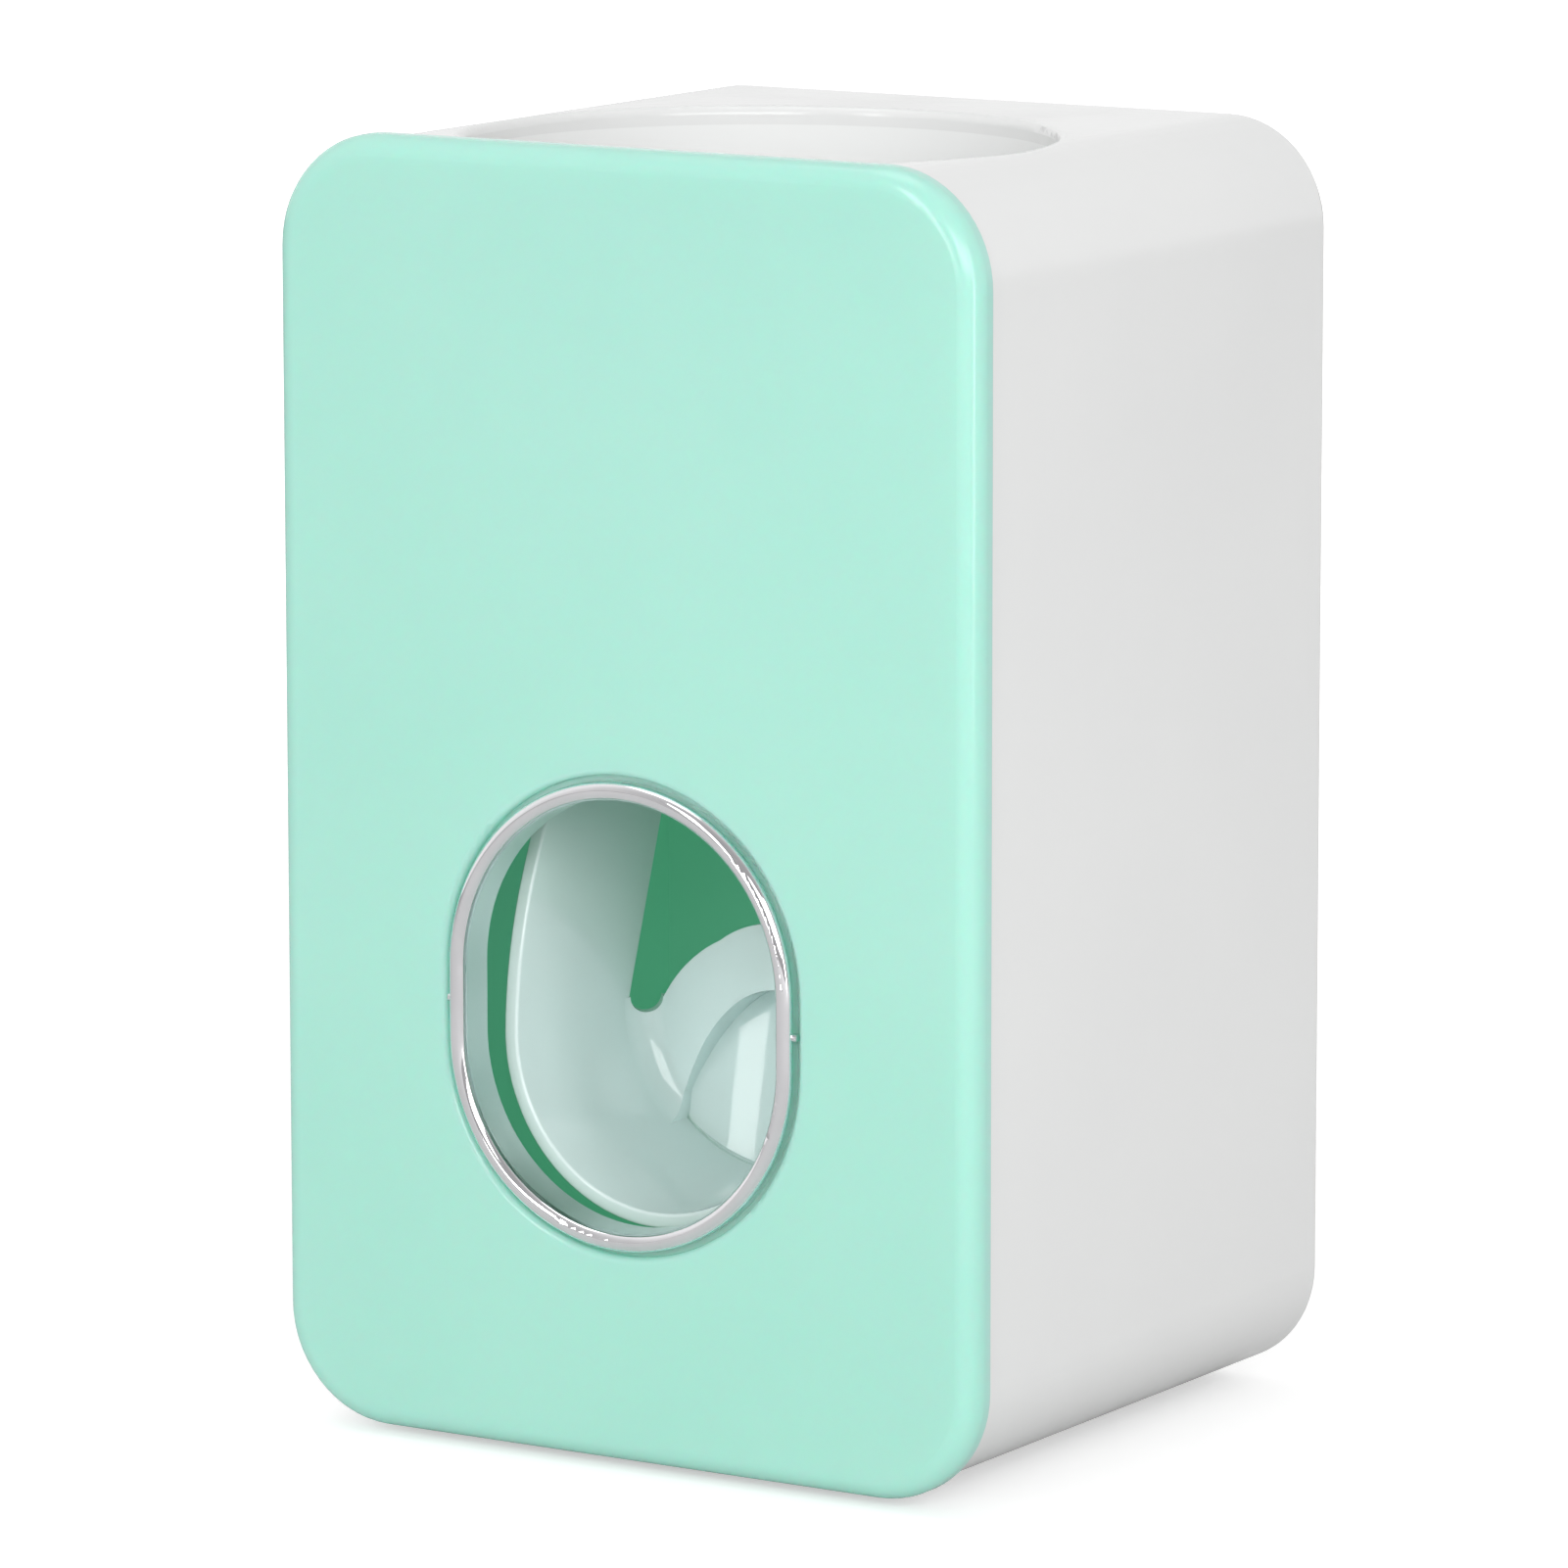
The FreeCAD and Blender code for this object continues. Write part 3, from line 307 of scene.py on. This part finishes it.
def turn(bm, points, rounded, reach, centre, axis, steps):
    """Spins a closed outline, with some of its corners rounded, once round an axis."""
    outline = bm.faces.new([bm.verts.new(point) for point in points])
    corners = [corner for number, corner in enumerate(outline.verts) if number in rounded]
    bmesh.ops.bevel(bm, geom=corners, offset=reach, offset_type="OFFSET", segments=4, profile=0.5,
                    affect="VERTICES", material=-1)
    bmesh.ops.delete(bm, geom=bm.faces[:], context="FACES_ONLY")
    bmesh.ops.spin(bm, geom=bm.verts[:] + bm.edges[:], cent=centre, axis=axis, dvec=(0, 0, 0),
                   angle=2 * math.pi, steps=steps, use_merge=True)
    bmesh.ops.recalc_face_normals(bm, faces=bm.faces)


def show(name, bm, finish, body, node):
    """Makes a piece drawn in millimetres from a mesh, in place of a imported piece."""
    bmesh.ops.scale(bm, vec=(0.001, 0.001, 0.001), verts=bm.verts)
    mesh = bpy.data.meshes.new(name)
    bm.to_mesh(mesh)
    bm.free()
    mesh.shade_smooth()
    mesh.set_sharp_from_angle(angle=math.radians(40))
    mesh.materials.append(finish)
    piece = bpy.data.objects.new(name, mesh)
    scene.collection.objects.link(piece)
    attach(piece, body)
    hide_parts(node)
    return piece


# Each pad is dished below, so that it grips like a weak sucker.
foot_radius, foot_height, foot_round = 5.0, 1.6, 0.4
rim_radius, dish_radius, dish_height = 3.7, 3.1, 0.35
foot_places = [(side, along, 0) for side in (-24.4, 24.4) for along in (-23.05, 27.95)]
bm = bmesh.new()
turn(bm, [(radius, 0, height) for radius, height in (
    (0, foot_height), (foot_radius, foot_height), (foot_radius, 0), (rim_radius, 0),
    (dish_radius, dish_height), (0, dish_height))], (2, 3), foot_round, (0, 0, 0), (0, 0, 1), 64)
bmesh.ops.remove_doubles(bm, verts=bm.verts, dist=0.001)
pad = bm.verts[:] + bm.edges[:] + bm.faces[:]
pads = [pad] + [bmesh.ops.duplicate(bm, geom=pad)["geom"] for _ in foot_places[1:]]
for parts, place in zip(pads, foot_places):
    corners = [part for part in parts if isinstance(part, bmesh.types.BMVert)]
    bmesh.ops.translate(bm, verts=corners, vec=place)
bmesh.ops.recalc_face_normals(bm, faces=bm.faces)
show("grip_feet", bm, foot_rubber, "housing", "rubber_feet")

# Tube well: a white ABS cup let into the top of the body, which the tube stands in, neck down. Its colour is
# a shade whiter than the body's: painted light, for the light that goes round in it.
well_abs = finish_with(
    "well_white_abs", moulded_skin,
    {"Colour": (0.93, 0.935, 0.93, 1), "Flow Colour": (0.91, 0.92, 0.915, 1),
     "Smooth": 0.17, "Handled": 0.26, "Peel Scale": 420.0, "Peel": 0.04}, {"IOR": 1.5})
dress("tube_well", well_abs)

# Pump frame and pump: satin white acetal mouldings. The frame is screwed to posts in the body's back and
# carries the pump, and the pump's top arm hangs under the well's floor.
acetal = finish_with(
    "satin_acetal", moulded_skin,
    {"Colour": (0.84, 0.845, 0.835, 1), "Flow Colour": (0.80, 0.81, 0.80, 1),
     "Smooth": 0.36, "Handled": 0.48, "Peel Scale": 1400.0, "Peel": 0.12},
    {"IOR": 1.48, "Subsurface Weight": 0.2,
     "Subsurface Radius": (1.0, 0.95, 0.9), "Subsurface Scale": 0.0015})
for node in ("pump_frame", "pump_body", "duct_plugs", "nozzle", "bellows_clamp", "press_cap"):
    dress(node, acetal)

# Ring nut: the acetal collar in the well's floor that presses the tube's seal down. It is turned by hand, so
# it has finger hollows round its wall.
nut_radius, skirt_bore, lid_bore, nut_round = 15.0, 12.15, 7.2, 0.5
nut_low, lid_under, nut_top, neck_line = 110.4, 115.0, 116.6, -4.05
wall_faces, hollow_pitch, hollow_faces, hollow_edge, hollow_depth = 96, 8, 3, 0.45, 0.5
bm = bmesh.new()
turn(bm, [(radius, neck_line, height) for radius, height in (
    (skirt_bore, nut_low), (nut_radius, nut_low), (nut_radius, nut_top), (lid_bore, nut_top),
    (lid_bore, lid_under), (skirt_bore, lid_under))],
     (2, 3), nut_round, (0, neck_line, 0), (0, 0, 1), wall_faces)


def way_round(face):
    """The angle of a face about the neck's line."""
    middle = face.calc_center_median()
    return math.atan2(middle.y - neck_line, middle.x)


wall = [face for face in bm.faces if all(
    math.hypot(corner.co.x, corner.co.y - neck_line) > nut_radius - 0.01 for corner in face.verts)]
wall.sort(key=way_round)
hollows = [face for number, face in enumerate(wall) if number % hollow_pitch < hollow_faces]
bmesh.ops.inset_region(bm, faces=hollows, thickness=hollow_edge, depth=-hollow_depth, use_even_offset=True)
bmesh.ops.recalc_face_normals(bm, faces=bm.faces)
show("ring_nut", bm, acetal, "housing", "seal_collar")

# Screws, pins, clips and washer: stainless steel with fine lines from the drawing of the wire. They hold the
# frame, the pump, the lever and the stem.
steel_draw, given, put = node_group(
    "drawn_steel",
    (("Colour", "Color", (0.6, 0.6, 0.6, 1)), ("Dull Colour", "Color", (0.5, 0.5, 0.5, 1)),
     ("Polish", "Float", 0.22)),
    (("Colour", "Color"), ("Roughness", "Float"), ("Normal", "Vector")))
made, wired = steel_draw.nodes, steel_draw.links
lay = made.new("ShaderNodeMapping")
lay.inputs["Scale"].default_value = (1.0, 0.06, 1.0)
wired.new(made.new("ShaderNodeTexCoord").outputs["Object"], lay.inputs["Vector"])
lines = noise(made, wired, scale=5000.0, detail=3.0, place=lay.outputs["Vector"])
dull = spread(made, wired, lines, 0.0, 1.0)
wired.new(blend(made, wired, dull, given["Colour"], given["Dull Colour"]), put["Colour"])
rubbed = noise(made, wired, scale=900.0, detail=4.0)
wired.new(spread(made, wired, rubbed, given["Polish"], 0.42), put["Roughness"])
wired.new(relief(made, wired, lines, depth=0.00003, strength=0.3), put["Normal"])
steel = finish_with(
    "stainless_steel", steel_draw,
    {"Colour": (0.62, 0.62, 0.63, 1), "Dull Colour": (0.52, 0.52, 0.53, 1), "Polish": 0.29},
    {"Metallic": 1.0})
for node in ("frame_screws", "pump_screws", "pivot_pins", "pin_clips", "stem_washer"):
    dress(node, steel)

# Seals and valves: milky silicone mouldings, a little translucent. The collar and the nozzle press them into
# their seats.
silicone = finish_with(
    "milky_silicone", rubber_grain,
    {"Colour": (0.78, 0.80, 0.79, 1), "Dust Colour": (0.72, 0.74, 0.73, 1), "Grain": 0.08},
    {"IOR": 1.42, "Subsurface Weight": 0.6, "Subsurface Radius": (1.0, 0.95, 0.9), "Subsurface Scale": 0.003})
for node in ("tube_seal", "inlet_valve", "outlet_valve", "well_gasket", "nozzle_o_ring"):
    dress(node, silicone)

# Bellows: the pump's bag, three silicone pleats between the press cap and the clamped flange on the pump
# body. The cap's stem goes through its closed end, and the lever squeezes it.
cap_back, pump_axis, pleat_round = 0.95, 84.1, 0.6
bellows_outside = (
    (2.05, 0), (8, 0), (10.5, 1.75), (8, 3.5), (10.5, 5.25), (8, 7), (10.5, 8.75), (8, 10.5),
    (12.4, 10.5), (12.4, 11.7))
bellows_inside = (
    (7, 11.7), (7, 10.5), (9.3, 8.75), (6.8, 7), (9.3, 5.25), (6.8, 3.5), (9.3, 1.75), (7, 1.2), (2.05, 1.2))
pleats = (2, 3, 4, 5, 6, 12, 13, 14, 15, 16)
bm = bmesh.new()
turn(bm, [(radius, cap_back + along, pump_axis) for radius, along in bellows_outside + bellows_inside],
     pleats, pleat_round, (0, 0, pump_axis), (0, 1, 0), 72)
pump_bellows = show("pump_bellows", bm, silicone, "housing", "bellows")
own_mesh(pump_bellows)

# Return spring: stainless wire, 0.8 mm, coiled with closed ends, inside the bellows between the washer on the
# stem and the floor of the chamber. It pushes the cap and the lever back.
spring_front, spring_back, wire, coil_radius = 3.6, 13.5, 0.8, 4.3
closed_run = 1.05 * wire
open_run = spring_back - spring_front - 2 * closed_run
steps_per_turn = 48
bm = bmesh.new()
ring = bmesh.ops.create_circle(bm, segments=12, radius=wire / 2, cap_ends=False)["verts"]
bmesh.ops.rotate(bm, verts=ring, cent=(0, 0, 0), matrix=Matrix.Rotation(math.radians(90), 3, "Z"))
bmesh.ops.translate(bm, verts=ring, vec=(coil_radius, spring_front, pump_axis))
first_loop = bm.edges[:]
end_loop = bm.verts[:] + bm.edges[:]
for turns, run in ((1, closed_run), (3, open_run), (1, closed_run)):
    steps = steps_per_turn * turns
    end_loop = bmesh.ops.spin(
        bm, geom=end_loop, cent=(0, 0, pump_axis), axis=(0, 1, 0), dvec=(0, run / steps, 0),
        angle=2 * math.pi * turns, steps=steps)["geom_last"]
bmesh.ops.contextual_create(bm, geom=first_loop)
bmesh.ops.contextual_create(bm, geom=[edge for edge in end_loop if isinstance(edge, bmesh.types.BMEdge)])
bmesh.ops.recalc_face_normals(bm, faces=bm.faces)
coil_spring = show("coil_spring", bm, steel, "housing", "return_spring")
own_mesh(coil_spring)

# Push lever: the scoop in the window, a polished ABS moulding that hangs on two pins from the pump frame.
# It is white; the breath of mint in its colour is painted green light from the translucent cover, as the
# photograph shows it behind the cover.
lever_abs = finish_with(
    "polished_white_abs", moulded_skin,
    {"Colour": (0.80, 0.93, 0.915, 1), "Flow Colour": (0.78, 0.915, 0.90, 1),
     "Smooth": 0.05, "Handled": 0.09, "Peel Scale": 300.0, "Peel": 0.03},
    {"IOR": 1.53, "Subsurface Weight": 0.25, "Subsurface Radius": (1.0, 1.0, 1.0), "Subsurface Scale": 0.002})
dress("push_lever", lever_abs)

# Front cover: a gloss mint ABS cap over the open front, a little translucent, so that the light behind it is
# green. A skirt and four pegs hold it, and it pulls off for cleaning.
mint_abs = finish_with(
    "gloss_mint_abs", moulded_skin,
    {"Colour": (0.445, 0.815, 0.69, 1), "Flow Colour": (0.425, 0.795, 0.675, 1),
     "Smooth": 0.14, "Handled": 0.22, "Peel Scale": 420.0, "Peel": 0.04},
    {"IOR": 1.5, "Subsurface Weight": 0.7, "Subsurface Radius": (0.45, 1.0, 0.8), "Subsurface Scale": 0.004})
dress("front_cover", mint_abs)

# Window ring: a plated plastic trim with a round bead, pressed into the cover's window. The plating waves a
# little, as it does over a moulding.
plated_wave, given, put = node_group(
    "plated_wave",
    (("Colour", "Color", (0.8, 0.8, 0.8, 1)), ("Cloud Colour", "Color", (0.7, 0.7, 0.7, 1)),
     ("Wave", "Float", 0.3)),
    (("Colour", "Color"), ("Roughness", "Float"), ("Normal", "Vector")))
made, wired = plated_wave.nodes, plated_wave.links
cloud = spread(made, wired, noise(made, wired, scale=130.0, detail=3.0), 0.0, 1.0)
wired.new(blend(made, wired, cloud, given["Colour"], given["Cloud Colour"]), put["Colour"])
wired.new(spread(made, wired, noise(made, wired, scale=600.0, detail=4.0), 0.03, 0.10), put["Roughness"])
wave = noise(made, wired, scale=200.0, detail=1.0)
wired.new(relief(made, wired, wave, depth=0.0005, strength=given["Wave"]), put["Normal"])
chrome = finish_with(
    "bright_chrome", plated_wave,
    {"Colour": (0.84, 0.83, 0.85, 1), "Cloud Colour": (0.78, 0.77, 0.79, 1), "Wave": 0.12}, {"Metallic": 1.0})

# Behind the bead the plating is thin, so the sleeve is satin; its slight green is a painted reflection of the
# green-lit inside.
bead_end, satin, sleeve_painted_reflection = (-0.0400, -0.0398), 0.34, (0.77, 0.85, 0.83, 1)
made, wired = chrome.node_tree.nodes, chrome.node_tree.links
shader = made["Principled BSDF"]
depth = made.new("ShaderNodeSeparateXYZ")
wired.new(made.new("ShaderNodeTexCoord").outputs["Object"], depth.inputs["Vector"])
behind = spread(made, wired, depth.outputs["Y"], 0.0, 1.0, bead_end)
for socket, kind, value in (("Roughness", "FLOAT", satin), ("Base Color", "RGBA", sleeve_painted_reflection)):
    bead_value = shader.inputs[socket].links[0].from_socket
    wired.new(blend(made, wired, behind, bead_value, value, kind), shader.inputs[socket])
dress("window_ring", chrome)
